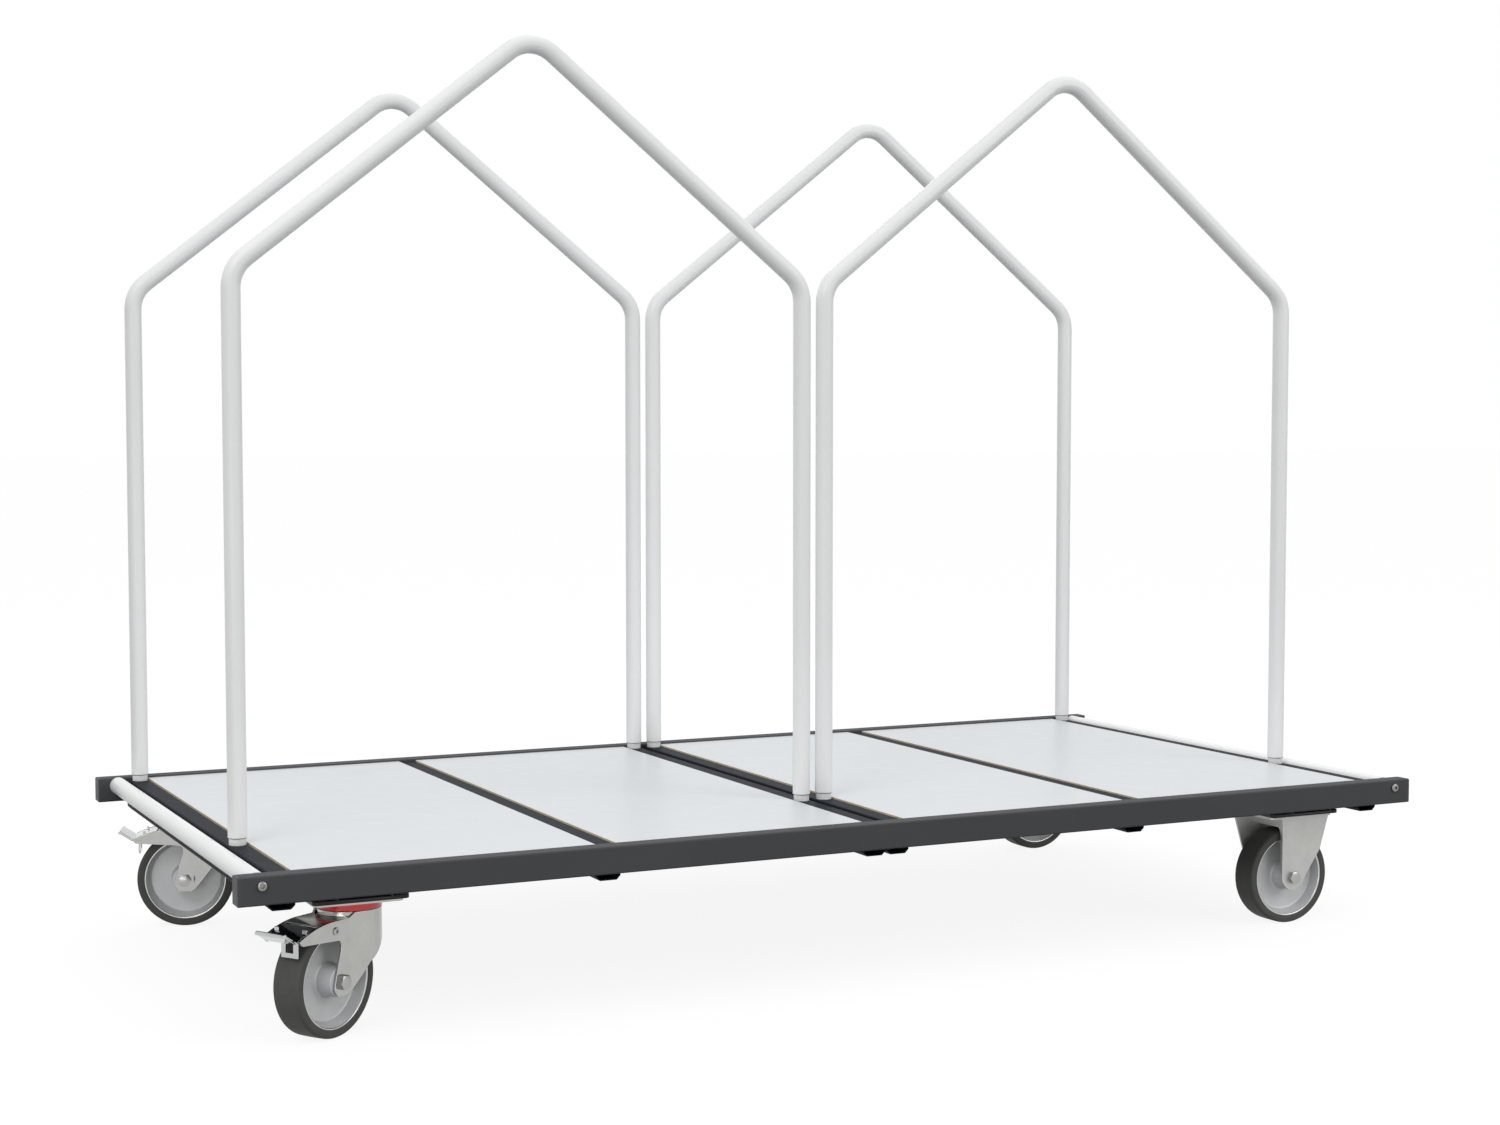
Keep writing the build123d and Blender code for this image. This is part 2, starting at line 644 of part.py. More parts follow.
# Swivel fork: a head disc, a wall bent round the front, two cheeks with arms and a web between the arms
def swivel_fork(prefix, ground):
    side = side_plane(ground)
    crease_distance = hypot(CREASE_LEAD, CHEEK_OUT)
    touch = atan2(CHEEK_OUT, CREASE_LEAD) - acos(HEAD_RADIUS / crease_distance)
    touch_lead = HEAD_RADIUS * cos(touch)
    touch_half = HEAD_RADIUS * sin(touch)
    reach = TRAIL + WHEEL_DIAMETER
    leg_low = by_axle(0, -WHEEL_RADIUS / 2)[1]
    inner_corner = by_tyre_top(-1.8, -21.7)
    nose = HEAD_RADIUS + NOSE_ROOM
    with BuildPart() as fork:
        with BuildSketch(ground.offset(leg_low)):
            with BuildLine():
                Polyline(
                    (touch_lead, touch_half),
                    (CREASE_LEAD, CHEEK_OUT),
                    (-reach, CHEEK_OUT),
                    (-reach, -CHEEK_OUT),
                    (CREASE_LEAD, -CHEEK_OUT),
                    (touch_lead, -touch_half),
                )
                ThreePointArc((touch_lead, -touch_half), (HEAD_RADIUS, 0), (touch_lead, touch_half))
            make_face()
            offset(amount=-CHEEK_THICKNESS, mode=Mode.SUBTRACT)
        extrude(amount=HEAD_TOP - leg_low)
        with BuildSketch(side) as profile:
            with BuildLine():
                Polyline(
                    inner_corner,
                    by_tyre_top(-2.5, -35),
                    by_axle(-9, 24),
                    by_axle(-16.5, -6),
                    by_axle(-16.5, -10),
                    by_axle(-9.5, -19),
                    by_axle(11, -19.5),
                    by_axle(17.7, -15),
                    by_axle(45.5, 21),
                )
                ThreePointArc(by_axle(45.5, 21), by_axle(78, 48), (nose, HEAD_TOP - NOSE_DROP))
                Polyline(
                    (nose, HEAD_TOP - NOSE_DROP),
                    (nose, HEAD_TOP),
                    (CREASE_LEAD + SHOULDER_LEAD, HEAD_TOP),
                    (CREASE_LEAD, HEAD_TOP - SHOULDER_DROP),
                    ARM_ROOT,
                )
                ThreePointArc(ARM_ROOT, ARM_MIDDLE, ARM_TIP)
                Polyline(ARM_TIP, by_tyre_top(-79.5, -16), inner_corner)
            make_face()
            fillet(profile.vertices().sort_by_distance((*inner_corner, 0))[0], CORNER_RADIUS)
        extrude(amount=2 * HEAD_RADIUS, both=True, mode=Mode.INTERSECT)
        web_drop = WEB_THICKNESS_TOP / 2
        with BuildSketch(side):
            with BuildLine():
                Line((CREASE_LEAD, ARM_ROOT[1] - web_drop), arm_edge(9, web_drop))
                ThreePointArc(arm_edge(9, web_drop), arm_edge(26, web_drop), arm_edge(WEB_BACK, web_drop))
            trace(line_width=WEB_THICKNESS_TOP)
        extrude(amount=CHEEK_IN, both=True)
        with BuildSketch(ground.offset(HEAD_LOW)):
            Circle(HEAD_RADIUS - HEAD_INSET)
        extrude(amount=HEAD_THICKNESS)
        with BuildSketch(ground.offset(HEAD_LOW)):
            Circle(KING_DIAMETER / 2 + FIT)
        extrude(amount=HEAD_THICKNESS, mode=Mode.SUBTRACT)
        with BuildSketch(side):
            with Locations(by_axle(0, 0)):
                Circle(AXLE_DIAMETER / 2 + FIT)
            with Locations(PEDAL_PIVOT):
                Circle(PEDAL_PIN_DIAMETER / 2 + FIT)
        extrude(amount=HEAD_RADIUS, both=True, mode=Mode.SUBTRACT)
    save(fork, f"{prefix}_fork")


# The swivel head: caster plate, seal ring and king pin
def swivel_head(prefix, ground):
    with BuildPart() as top_plate:
        with BuildSketch(ground.offset(PLATE_LOW)):
            bolted_plate(PLATE_LENGTH, PLATE_WIDTH, FIT)
            Circle(KING_DIAMETER / 2 + FIT, mode=Mode.SUBTRACT)
        extrude(amount=PLATE_THICKNESS)
    save(top_plate, f"{prefix}_top_plate")
    with BuildPart() as seal_ring:
        with BuildSketch(ground.offset(PLATE_LOW)):
            Circle(SEAL_DIAMETER / 2)
            Circle(SEAL_BORE / 2, mode=Mode.SUBTRACT)
        extrude(amount=-SEAL_HEIGHT)
    save(seal_ring, f"{prefix}_seal_ring")
    with BuildPart() as king_pin:
        with BuildSketch(ground.offset(CASTER_HEIGHT)):
            Circle(KING_DIAMETER / 2)
        extrude(amount=-(CASTER_HEIGHT - HEAD_LOW + RUN_GAP))
        with BuildSketch(ground.offset(HEAD_LOW - RUN_GAP)):
            Circle(KING_HEAD_DIAMETER / 2)
        extrude(amount=-KING_HEAD_HEIGHT)
    save(king_pin, f"{prefix}_king_pin")


# Brake pedal: a plate level with the arms, a raised toe, side ears on the pins, two tabs and a loop
def brake_pedal(prefix, ground):
    side = side_plane(ground)
    ear_in = PEDAL_WIDTH / 2 - EAR_THICKNESS
    drop = PEDAL_DROP + PEDAL_PLATE / 2
    back_edge = arm_edge(PEDAL_BACK, drop)
    valley = arm_edge(PEDAL_FRONT, drop)
    toe_tip = by_tyre_top(-106, 1.5)
    loop_low = WHEEL_DIAMETER - LOOP_LOW
    tyre_reach = sqrt(WHEEL_RADIUS**2 - (loop_low - WHEEL_RADIUS) ** 2)
    loop_back = tyre_reach + LOOP_ROOM + PEDAL_PLATE / 2
    loop_top = arm_edge(loop_back, drop)[1]
    with BuildPart() as pedal:
        with BuildSketch(side):
            with BuildLine():
                ThreePointArc(back_edge, arm_edge(TAB_LEAD, drop), valley)
            trace(line_width=PEDAL_PLATE)
        extrude(amount=PEDAL_WIDTH / 2, both=True)
        with BuildSketch(side):
            with BuildLine():
                Line(valley, toe_tip)
            trace(line_width=TOE_THICKNESS)
            with Locations(valley):
                Circle(TOE_THICKNESS / 2)
            with Locations(toe_tip):
                Circle(TOE_ROLL / 2)
        extrude(amount=TOE_WIDTH / 2, both=True)
        for hand in (1, -1):
            with BuildSketch(side.offset(hand * ear_in)):
                with BuildLine():
                    Polyline(
                        by_tyre_top(-12, 0.5),
                        by_tyre_top(-46, 0.5),
                        arm_edge(PEDAL_BACK + 2, drop),
                        arm_edge(PEDAL_BACK + 12, drop),
                        by_tyre_top(-55, -6),
                        by_tyre_top(-18, -13),
                        close=True,
                    )
                make_face()
                with Locations(PEDAL_PIVOT):
                    Circle(EAR_RADIUS)
                    Circle(PEDAL_PIN_DIAMETER / 2 + FIT, mode=Mode.SUBTRACT)
            extrude(amount=hand * EAR_THICKNESS)
            with BuildSketch(side.offset(hand * (PEDAL_WIDTH / 2 - TAB_WIDTH))):
                with Locations(arm_edge(TAB_LEAD, drop - TAB_HEIGHT / 2)):
                    Rectangle(PEDAL_PLATE, TAB_HEIGHT)
            extrude(amount=hand * TAB_WIDTH)
        loop_plane = Plane(
            origin=side.from_local_coords((-TRAIL - loop_back, loop_low, LOOP_OFFSET)),
            x_dir=ground.y_dir,
            z_dir=ground.x_dir,
        )
        with BuildSketch(loop_plane):
            with Locations((0, (loop_top - loop_low) / 2)):
                Rectangle(LOOP_WIDTH, loop_top - loop_low)
            with Locations((0, LOOP_HOLE_RISE + LOOP_HOLE_HEIGHT / 2)):
                Rectangle(LOOP_HOLE_WIDTH, LOOP_HOLE_HEIGHT, mode=Mode.SUBTRACT)
        extrude(amount=PEDAL_PLATE / 2, both=True)
    save(pedal, f"{prefix}_pedal")


for caster, caster_y, turn in (("near_left", -CASTER_Y, NEAR_SPLAY), ("far_left", CASTER_Y, FAR_SPLAY)):
    floor = ground_plane(-CASTER_X, caster_y, turn)
    swivel_head(caster, ground_plane(-CASTER_X, caster_y, 0))
    swivel_fork(caster, floor)
    brake_pedal(caster, floor)
    wheel(caster, floor, -TRAIL)
    fork_bolts(caster, floor, -TRAIL, True)

for caster, caster_y in (("near_right", -CASTER_Y), ("far_right", CASTER_Y)):
    floor = ground_plane(CASTER_X, caster_y, 0)
    fixed_fork(caster, floor)
    wheel(caster, floor, 0)
    fork_bolts(caster, floor, 0, False)
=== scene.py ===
"""Looks of a platform trolley with hoop sides.

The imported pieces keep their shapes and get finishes, most of them softened edges too. Rims, tyres,
axle bolts and pedal pins are remade in finer detail, and a studio and a camera are set up round them.
"""

import json
from math import cos, pi, radians, sin, tan

import bmesh
import bpy
from mathutils import Matrix, Vector


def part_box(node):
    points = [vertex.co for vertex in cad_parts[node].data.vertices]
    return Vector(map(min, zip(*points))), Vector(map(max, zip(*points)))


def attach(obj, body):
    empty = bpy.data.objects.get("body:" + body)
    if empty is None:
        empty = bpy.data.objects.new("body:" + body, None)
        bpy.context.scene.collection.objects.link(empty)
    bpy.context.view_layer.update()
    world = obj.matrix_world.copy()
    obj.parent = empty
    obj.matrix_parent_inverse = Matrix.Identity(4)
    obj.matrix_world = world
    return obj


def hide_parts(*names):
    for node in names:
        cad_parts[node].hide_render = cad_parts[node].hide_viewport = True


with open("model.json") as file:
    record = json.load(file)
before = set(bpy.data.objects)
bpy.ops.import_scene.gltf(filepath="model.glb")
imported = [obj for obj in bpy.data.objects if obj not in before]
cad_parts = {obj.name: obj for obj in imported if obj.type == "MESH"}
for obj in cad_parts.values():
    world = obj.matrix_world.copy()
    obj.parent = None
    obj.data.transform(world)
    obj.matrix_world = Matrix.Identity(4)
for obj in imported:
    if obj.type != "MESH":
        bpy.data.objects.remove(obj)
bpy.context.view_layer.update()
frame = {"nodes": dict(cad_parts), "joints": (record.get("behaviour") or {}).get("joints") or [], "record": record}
nodes = frame["nodes"]
joints = {joint["name"]: joint for joint in frame["joints"]}

# Camera of the photograph: metres, degrees and millimetres of film
CAMERA_PLACE = (-1.73735, -3.55338, 0.84429)
CAMERA_AZIMUTH = 26.04
CAMERA_DROP = 3.343
CAMERA_LENS = 56.21
CAMERA_SENSOR = 36.0
CAMERA_REACH = 200.0

# Casters
LEFT_CASTERS = ("near_left", "far_left")
RIGHT_CASTERS = ("near_right", "far_right")
CASTERS = LEFT_CASTERS + RIGHT_CASTERS

# Rims, in metres
RIM_RADIUS = 0.067
RIM_HALF = 0.02175
LIP_WIDTH = 0.0024
LIP_BRIGHT = 0.0009
LIP_MARGIN = 0.0002
LIP_INNER_ROUND = 0.0010
LIP_OUTER_ROUND = 0.0006
DISH_RADIUS = 0.058
WEB_HALF = 0.005
WEB_ROUND = 0.0025
HUB_HALF = 0.030
HUB_RADIUS = 0.021
HUB_TAPER = 0.003
HUB_ROUND = 0.0012
BORE_RADIUS = 0.01005

# Tyres, in metres
WHEEL_RADIUS = 0.080
TYRE_HALF = 0.023
SEAT_INSET = 0.0010
SEAT_GAP = 0.0001
FOOT_INSET = 0.0006
FOOT_HEIGHT = 0.0025
FOOT_ROUND = 0.0006
SIDE_ROUND = 0.0010
SHOULDER_FALL = 0.0004
SHOULDER_ROUND = 0.006
TREAD_HALF = TYRE_HALF * 0.5
TREAD_FALL = 0.0001
TREAD_ROUND = 0.004
CROWN_HALF = 0.0010

# Dark rings under the hoop tubes, painted shadow of the gap at each foot, in metres
HOOP_RADIUS = 0.014
SHADOW_RING_INNER = 0.01250
SHADOW_RING_OUTER = 0.01330
SHADOW_RING_HEIGHT = 0.0007

# Axle bolts and their nuts, in metres
CHEEK_OUT = 0.034
AXLE_RADIUS = 0.006
HEAD_ACROSS = 0.019
HEAD_HEIGHT = 0.0075
NUT_HEIGHT = 0.0095
COLLAR_RADIUS = HEAD_ACROSS * 0.43
COLLAR_HEIGHT = 0.0025
COLLAR_END_RADIUS = COLLAR_RADIUS * 0.8
COLLAR_END_HEIGHT = COLLAR_RADIUS * 0.15
TIP_LENGTH = 0.002
TIP_END_RADIUS = AXLE_RADIUS * 0.8
TIP_END_HEIGHT = AXLE_RADIUS * 0.2
HEX_FACE_SHARE = 0.475
HEX_CHAMFER = radians(30)

# Pedal pins, in metres
PIN_HEAD_RADIUS = 0.0055
PIN_HEAD_HEIGHT = 0.002
PIN_FACE_RADIUS = PIN_HEAD_RADIUS * 0.9
PIN_FACE_HEIGHT = PIN_HEAD_HEIGHT * 0.3
PIN_SHANK_RADIUS = 0.004
PIN_REACH = 0.0085
PIN_SOCKET_ACROSS = 0.005
PIN_SOCKET_DEPTH = PIN_HEAD_HEIGHT * 0.8

# Fineness of the remade pieces
TURNED_STEPS = 128
FASTENER_STEPS = 72
ROUND_STEPS = 5
ROUND_SHARE = 0.49
SHARP_ANGLE = radians(35)

# Softened edges: the width for the pieces with each ending, in metres
EDGE_WIDTHS = {
    "_left_fork": 0.0006,
    "_fixed_fork": 0.0002,
    "_pedal": 0.0006,
    "_top_plate": 0.0006,
    "_mount_plates": 0.0008,
    "_seal_ring": 0.0014,
    "_king_pin": 0.0005,
    "caster_bolts": 0.0005,
    "_bearer": 0.0008,
    "_caster_beam": 0.0012,
    "_panel": 0.0004,
    "_hoop_feet": 0.0006,
    "_hoop": 0.0006,
}
EDGE_SEGMENTS = 2
EDGE_ANGLE = radians(15)
FLAT_ANGLE = radians(0.5)
WELD_REACH = 0.00002
NORMAL_WEIGHT = 80
CUT_EDGE_SLOPE = 0.5

# How a finish varies: a noise scale with the share it moves the value by, or with a depth in metres
DRIFT = (7.0, 0.04)
GLOSS = (24.0, 0.1)
GRAIN = (600.0, 0.000006)
DRIFT_DETAIL = 5.0
GLOSS_DETAIL = 4.0
GRAIN_DETAIL = 2.0
NOISE_BAND = (0.3, 0.7)
COAT_ROUGHNESS = 0.06
POWDER = {"grain": (900.0, 0.000002), "gloss": (60.0, 0.05)}
CAST = {"grain": (1500.0, 0.000004), "drift": (40.0, 0.04)}
SPANGLE = {"drift": (55.0, 0.04), "gloss": (140.0, 0.15), "grain": (1800.0, 0.000001)}

# Studio, in metres and watts
FLOOR_REACH = 60.0
FLOOR_ALBEDO = 0.13
FLOOR_ROUGHNESS = 0.9
FLOOR_GLOW = 0.89
SKY_AT_HORIZON = 0.38
SKY_OVERHEAD = 1.0
SKY_SEEN = 1.0
WHITE = (1, 1, 1, 1)
LAMPS = {
    "key": {"place": (-4.0, -3.0, 4.3), "target": (-0.1, 0.0, 0.5), "size": (3.0, 2.0), "power": 88},
    "low": {"place": (-3.2, -3.4, 0.5), "target": (-0.5, -0.3, 0.12), "size": (2.5, 0.6), "power": 22},
    "back": {"place": (1.5, 4.0, 3.6), "target": (0.0, 0.0, 0.5), "size": (3.0, 2.0), "power": 25},
    "fill": {"place": (3.2, -4.0, 2.4), "target": (0.2, 0.0, 0.4), "size": (2.5, 2.0), "power": 75},
}


def named(ending):
    return [name for name in nodes if name.endswith(ending)]


# Material building blocks
def new_material(name):
    material = bpy.data.materials.new(name)
    material.use_nodes = True
    tree = material.node_tree
    return material, tree, tree.nodes["Principled BSDF"]


def node(tree, kind, inputs=(), **settings):
    made = tree.nodes.new(kind)
    for key, value in settings.items():
        setattr(made, key, value)
    for key, value in dict(inputs).items():
        made.inputs[key].default_value = value
    return made


def noise(tree, scale, detail):
    """Noise over the object's own metres."""
    place = node(tree, "ShaderNodeTexCoord")
    made = node(tree, "ShaderNodeTexNoise", {"Scale": scale, "Detail": detail})
    tree.links.new(place.outputs["Object"], made.inputs["Vector"])
    return made.outputs["Fac"]


def ramp(tree, source, low, high):
    """A blend of two colours over the band that noise mostly stays in."""
    made = node(tree, "ShaderNodeValToRGB")
    for element, position, colour in zip(made.color_ramp.elements, NOISE_BAND, (low, high)):
        element.position = position
        element.color = (*colour, 1)
    tree.links.new(source, made.inputs["Fac"])
    return made.outputs["Color"]


def between(tree, source, low, high, band=(0.0, 1.0)):
    """The source's band of values spread from low to high."""
    start, end = band
    limits = {"From Min": start, "From Max": end, "To Min": low, "To Max": high}
    made = node(tree, "ShaderNodeMapRange", limits)
    tree.links.new(source, made.inputs["Value"])
    return made.outputs["Result"]


def shade(colour, factor):
    return tuple(min(1.0, channel * factor) for channel in colour)


def finish(name, colour, roughness, drift=DRIFT, gloss=GLOSS, grain=GRAIN):
    """A finish whose colour drifts, whose gloss is uneven and whose skin has a fine grain."""
    material, tree, shader = new_material(name)
    drift_scale, drift_share = drift
    tint = noise(tree, drift_scale, DRIFT_DETAIL)
    colours = ramp(tree, tint, shade(colour, 1 - drift_share), shade(colour, 1 + drift_share))
    tree.links.new(colours, shader.inputs["Base Color"])
    gloss_scale, gloss_share = gloss
    patches = noise(tree, gloss_scale, GLOSS_DETAIL)
    smoothest = roughness * (1 - gloss_share)
    roughest = roughness * (1 + gloss_share)
    rough = between(tree, patches, smoothest, roughest, NOISE_BAND)
    tree.links.new(rough, shader.inputs["Roughness"])
    grain_scale, grain_depth = grain
    bump = node(tree, "ShaderNodeBump", {"Distance": grain_depth})
    tree.links.new(noise(tree, grain_scale, GRAIN_DETAIL), bump.inputs["Height"])
    tree.links.new(bump.outputs["Normal"], shader.inputs["Normal"])
    return material, shader


def paint(name, colour, roughness, specular=0.5, coat=0.0, **detail):
    material, shader = finish(name, colour, roughness, **detail)
    shader.inputs["Specular IOR Level"].default_value = specular
    shader.inputs["Coat Weight"].default_value = coat
    shader.inputs["Coat Roughness"].default_value = COAT_ROUGHNESS
    return material


def metal(name, colour, roughness, metallic=1.0, **detail):
    material, shader = finish(name, colour, roughness, **detail)
    shader.inputs["Metallic"].default_value = metallic
    return material


# Powder coats
rail_paint = paint("rail_paint", (0.073, 0.074, 0.080), 0.50, specular=0.025, **POWDER)
bearer_paint = paint("bearer_paint", (0.022, 0.026, 0.032), 0.45, specular=0.012, **POWDER)
beam_paint = paint("beam_paint", (0.030, 0.031, 0.034), 0.50, specular=0.3, **POWDER)
plate_paint = paint("plate_paint", (0.010, 0.010, 0.011), 0.42, specular=0.3, **POWDER)
white_paint = paint(
    "white_paint", (0.83, 0.835, 0.835), 0.30, specular=0.25, drift=(5.0, 0.012), **POWDER
)
foot_paint = paint("foot_paint", (0.72, 0.725, 0.73), 0.40, drift=(9.0, 0.02))

# Boards, plastics and rubber
# The board face is white melamine. Its blue cast and part of its dimness are painted light: blue light bounced off
# a load on the deck, and that load's shade. No load is built.
board_painted_blue_bounce_and_shade = paint(
    "board_painted_blue_bounce_and_shade", (0.63, 0.66, 0.68), 0.32, specular=0.18, drift=(3.0, 0.012), grain=(320.0, 0.000001)
)
board_edge = paint(
    "board_edge", (0.62, 0.52, 0.34), 0.65, drift=(260.0, 0.18), grain=(1200.0, 0.00002)
)
cap_plastic = paint(
    "cap_plastic", (0.046, 0.047, 0.050), 0.55, specular=0.35, grain=(1400.0, 0.000004)
)
red_plastic = paint("red_plastic", (0.95, 0.022, 0.018), 0.22, coat=0.4, drift=(20.0, 0.03))
rubber = paint(
    "rubber", (0.072, 0.072, 0.069), 0.66, specular=0.28, drift=(30.0, 0.1), grain=(1600.0, 0.00001)
)

# Plated steel and cast rims
zinc = metal("zinc", (0.41, 0.41, 0.395), 0.16, **SPANGLE)
matt_zinc = metal("matt_zinc", (0.46, 0.46, 0.445), 0.44, metallic=0.75, **SPANGLE)
bright_zinc = metal("bright_zinc", (0.37, 0.37, 0.36), 0.30, **SPANGLE)
dark_zinc = metal("dark_zinc", (0.24, 0.24, 0.235), 0.28, **SPANGLE)
chrome = metal("chrome", (0.50, 0.505, 0.51), 0.09, drift=(30.0, 0.03), gloss=(80.0, 0.25))
rim_metal = metal("rim_metal", (0.56, 0.565, 0.57), 0.48, metallic=0.25, **CAST)
lip_metal = metal("lip_metal", (0.50, 0.50, 0.50), 0.25, drift=(30.0, 0.03))

FINISHES = {
    "rail_paint": rail_paint,
    "cap_plastic": cap_plastic,
    "bearer_paint": bearer_paint,
    "white_tube": white_paint,
    "foot_paint": foot_paint,
    "white_board": board_painted_blue_bounce_and_shade,
    "beam_paint": beam_paint,
    "black_plate": plate_paint,
    "zinc_plate": zinc,
    "bright_zinc": bright_zinc,
    "pedal_chrome": chrome,
    "red_seal": red_plastic,
    "wheel_rim": rim_metal,
    "wheel_tyre": rubber,
}
for entry in frame["record"]["subparts"]:
    mesh = nodes[entry["node"]].data
    mesh.materials.clear()
    mesh.materials.append(FINISHES[entry["material_slot"]])

# The fixed forks are less polished than the swivel forks, and the rail screws are darker than the bolts
for name in named("_fixed_fork"):
    nodes[name].data.materials[0] = matt_zinc
nodes["end_tube_screws"].data.materials[0] = dark_zinc

# The boards show their core along the cut edges
for name in named("_panel"):
    mesh = nodes[name].data
    mesh.materials.append(board_edge)
    for face in mesh.polygons:
        face.material_index = 1 if abs(face.normal.z) < CUT_EDGE_SLOPE else 0


# Softened edges
def soften(name, width):
    """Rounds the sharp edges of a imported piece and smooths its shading."""
    piece = nodes[name]
    piece.data.polygons.foreach_set("use_smooth", [True] * len(piece.data.polygons))
    if "custom_normal" in piece.data.attributes:
        piece.data.attributes.remove(piece.data.attributes["custom_normal"])
    weld = piece.modifiers.new("weld", "WELD")
    weld.merge_threshold = WELD_REACH
    flats = piece.modifiers.new("flats", "DECIMATE")
    flats.decimate_type = "DISSOLVE"
    flats.angle_limit = FLAT_ANGLE
    bevel = piece.modifiers.new("bevel", "BEVEL")
    bevel.width = width
    bevel.segments = EDGE_SEGMENTS
    bevel.limit_method = "ANGLE"
    bevel.angle_limit = EDGE_ANGLE
    bevel.use_clamp_overlap = False
    normals = piece.modifiers.new("normals", "WEIGHTED_NORMAL")
    normals.weight = NORMAL_WEIGHT


for ending, edge_width in EDGE_WIDTHS.items():
    for name in named(ending):
        soften(name, edge_width)


# Building blocks of the remade pieces
def around(steps):
    return [2 * pi * step / steps for step in range(steps)]


def bridge(work, low, high):
    """Smooth faces between two rings with as many points each."""
    faces = []
    for step in range(len(low)):
        following = (step + 1) % len(low)
        face = work.faces.new((low[step], low[following], high[following], high[step]))
        face.smooth = True
        faces.append(face)
    return faces


def add_piece(name, work, materials, place, body, replaced=None):
    """Turns a bmesh into a piece that rides on a body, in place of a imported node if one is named."""
    bmesh.ops.recalc_face_normals(work, faces=work.faces)
    mesh = bpy.data.meshes.new(name)
    work.to_mesh(mesh)
    work.free()
    for material in materials:
        mesh.materials.append(material)
    mesh.set_sharp_from_angle(angle=SHARP_ANGLE)
    piece = bpy.data.objects.new(name, mesh)
    piece.matrix_world = place
    bpy.context.scene.collection.objects.link(piece)
    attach(piece, body)
    if replaced:
        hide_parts(replaced)


def joint_place(joint_name):
    """The joint's place, with local z along its axis."""
    joint = joints[joint_name]
    turn = Vector(joint["axis"]).to_track_quat("Z", "Y").to_matrix().to_4x4()
    return Matrix.Translation(Vector(joint["pos_m"])) @ turn


# Turned pieces
def rounded(points, radii):
    """The outline through these points, with each inner corner rounded by its radius."""
    outline = [Vector(points[0])]
    for before, corner, after, radius in zip(points, points[1:], points[2:], radii):
        corner = Vector(corner)
        if radius == 0:
            outline.append(corner)
            continue
        to_before = Vector(before) - corner
        to_after = Vector(after) - corner
        reach = min(radius, to_before.length * ROUND_SHARE, to_after.length * ROUND_SHARE)
        start = corner + to_before.normalized() * reach
        end = corner + to_after.normalized() * reach
        for step in range(ROUND_STEPS + 1):
            share = step / ROUND_STEPS
            rest = 1 - share
            outline.append(start * rest**2 + corner * 2 * share * rest + end * share**2)
    outline.append(Vector(points[-1]))
    return outline


def both_sides(half, radii):
    """A closed outline of (height, radius) points, mirrored about the wheel's middle."""
    points = half + [(-height, radius) for height, radius in reversed(half)]
    return rounded(points, radii + [0.0, 0.0] + radii[::-1])


def turned(outline, material_of=lambda height, radius: 0):
    """A closed outline of (height, radius) points turned about the local z axis."""
    work = bmesh.new()
    rings = []
    for height, radius in outline:
        spots = [(radius * cos(angle), radius * sin(angle), height) for angle in around(TURNED_STEPS)]
        rings.append([work.verts.new(spot) for spot in spots])
    for index, low in enumerate(rings):
        high = rings[(index + 1) % len(rings)]
        for face in bridge(work, low, high):
            face.material_index = material_of(*outline[index])
    return work


RIM_HALF_OUTLINE = [
    (HUB_HALF, BORE_RADIUS),
    (HUB_HALF, HUB_RADIUS),
    (WEB_HALF, HUB_RADIUS + HUB_TAPER),
    (WEB_HALF, DISH_RADIUS),
    (RIM_HALF - LIP_BRIGHT, RIM_RADIUS - LIP_WIDTH),
    (RIM_HALF, RIM_RADIUS - LIP_WIDTH + LIP_BRIGHT),
    (RIM_HALF, RIM_RADIUS),
]
RIM_ROUNDS = [HUB_ROUND, WEB_ROUND, WEB_ROUND, LIP_INNER_ROUND, LIP_OUTER_ROUND]
TYRE_HALF_OUTLINE = [
    (RIM_HALF - SEAT_INSET, RIM_RADIUS + SEAT_GAP),
    (TYRE_HALF - FOOT_INSET, RIM_RADIUS + SEAT_GAP),
    (TYRE_HALF, RIM_RADIUS + FOOT_HEIGHT),
    (TYRE_HALF, WHEEL_RADIUS - SHOULDER_FALL),
    (TREAD_HALF, WHEEL_RADIUS - TREAD_FALL),
    (CROWN_HALF, WHEEL_RADIUS),
]
TYRE_ROUNDS = [FOOT_ROUND, SIDE_ROUND, SHOULDER_ROUND, TREAD_ROUND]


def rim_band(height, radius):
    """The machined lip is the second material."""
    in_ring = radius > RIM_RADIUS - LIP_WIDTH
    near_face = abs(height) > RIM_HALF - LIP_BRIGHT - LIP_MARGIN
    return 1 if in_ring and near_face else 0


for caster in CASTERS:
    wheel = f"{caster}_wheel"
    axle = joint_place(f"{caster}_wheel_spin")
    rim = turned(both_sides(RIM_HALF_OUTLINE, RIM_ROUNDS), rim_band)
    rim_finishes = (rim_metal, lip_metal)
    add_piece(
        f"{caster}_turned_rim", rim, rim_finishes, axle, wheel, f"{caster}_wheel_rim"
    )
    tyre = turned(both_sides(TYRE_HALF_OUTLINE, TYRE_ROUNDS))
    add_piece(f"{caster}_turned_tyre", tyre, (rubber,), axle, wheel, f"{caster}_tyre")

